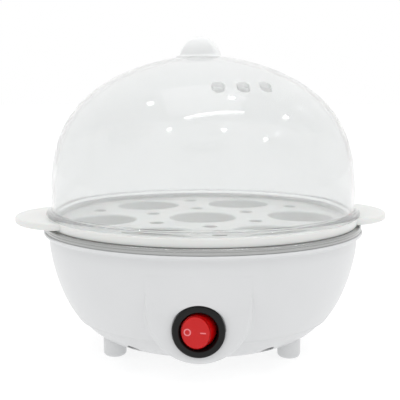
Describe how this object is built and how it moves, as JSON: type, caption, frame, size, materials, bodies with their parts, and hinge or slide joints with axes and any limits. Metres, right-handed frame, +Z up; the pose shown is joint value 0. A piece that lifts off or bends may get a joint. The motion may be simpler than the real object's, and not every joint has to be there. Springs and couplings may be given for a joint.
{
  "type": "egg cooker",
  "caption": "Round electric egg cooker: a white bowl-shaped base with a steel boiling dish and a rocker switch, a lift-out egg tray with two ears and a clear dome lid.",
  "frame": {"origin": "on the table under the middle of the round housing", "axes": "+Z up, the switch faces -Y, the tray's two ears stand out near -X and +X"},
  "size_m": [0.1844, 0.158, 0.1539],
  "materials": {
    "white_abs": "moulded, softly polished",
    "white_pp": "moulded, satin",
    "clear_polystyrene": "moulded, clear and polished",
    "stainless_steel": "spun and polished",
    "zinc_plated_steel": "zinc plated",
    "aluminium": "cast, as machined",
    "sheathed_tube": "dull oxidised sheath",
    "silicone": "moulded, matt",
    "phenolic": "moulded",
    "brass": "stamped",
    "glass_sleeve": "braided glass fibre",
    "nylon": "moulded",
    "black_nylon": "moulded, fine satin",
    "red_polycarbonate": "moulded, tinted",
    "neon_glass": "clear glass",
    "connector_sleeve": "moulded sleeve",
    "brown_lead": "extruded",
    "red_lead": "extruded",
    "blue_lead": "extruded"
  },
  "bodies": {
    "base": {"base_housing": "white_abs", "bottom_cover": "white_abs", "cover_screws": "zinc_plated_steel", "heating_dish": "stainless_steel", "dish_gasket": "silicone", "dish_studs": "zinc_plated_steel", "heater_plate": "aluminium", "heating_tube": "sheathed_tube", "tube_terminals": "zinc_plated_steel", "stud_nuts": "zinc_plated_steel", "dish_clips": "zinc_plated_steel", "clip_screws": "zinc_plated_steel", "thermostat": "phenolic", "thermostat_bracket": "zinc_plated_steel", "thermal_fuse": "brass", "fuse_sleeve": "glass_sleeve", "fuse_clip": "zinc_plated_steel", "plate_screws": "zinc_plated_steel", "terminal_block": "nylon", "terminal_screws": "brass", "cord_grommet": "nylon", "cord_clamp": "nylon", "clamp_screws": "zinc_plated_steel", "switch_body": "black_nylon", "switch_terminals": "brass", "indicator_lamp": "neon_glass", "spade_connectors": "connector_sleeve", "live_wire": "brown_lead", "switched_wire": "red_lead", "lamp_wire": "blue_lead", "fuse_wires": "red_lead", "neutral_wire": "blue_lead"},
    "rocker": {"rocker": "red_polycarbonate", "plunger_spring": "zinc_plated_steel"},
    "plunger": {"plunger": "zinc_plated_steel"},
    "contact_bridge": {"contact_bridge": "brass"},
    "egg_tray": {"egg_tray": "white_pp"},
    "lid": {"lid": "clear_polystyrene"}
  },
  "joints": [
    {"name": "tray_lift", "type": "slide", "parent": "base", "child": "egg_tray", "axis": [0, 0, 1], "range_m": [0, 0.06]},
    {"name": "lid_lift", "type": "slide", "parent": "egg_tray", "child": "lid", "axis": [0, 0, 1], "range_m": [0, 0.1]},
    {"name": "rocker_tilt", "type": "hinge", "parent": "base", "child": "rocker", "pos_m": [0, -0.0663, 0.0254], "axis": [0, 0, 1], "range_deg": [0, 22]},
    {"name": "plunger_slide", "type": "slide", "parent": "rocker", "child": "plunger", "axis": [-0.1908, -0.9816, 0], "range_m": [0, 0.0008], "stiffness_N_per_m": 400, "springref_m": -0.001, "deforming": ["plunger_spring"]},
    {"name": "bridge_rock", "type": "hinge", "parent": "base", "child": "contact_bridge", "pos_m": [0, -0.05685, 0.0254], "axis": [0, 0, 1], "range_deg": [-11, 0]}
  ],
  "couplings": [
    {"joint": "bridge_rock", "follows": "rocker_tilt", "ratio": -0.5}
  ]
}
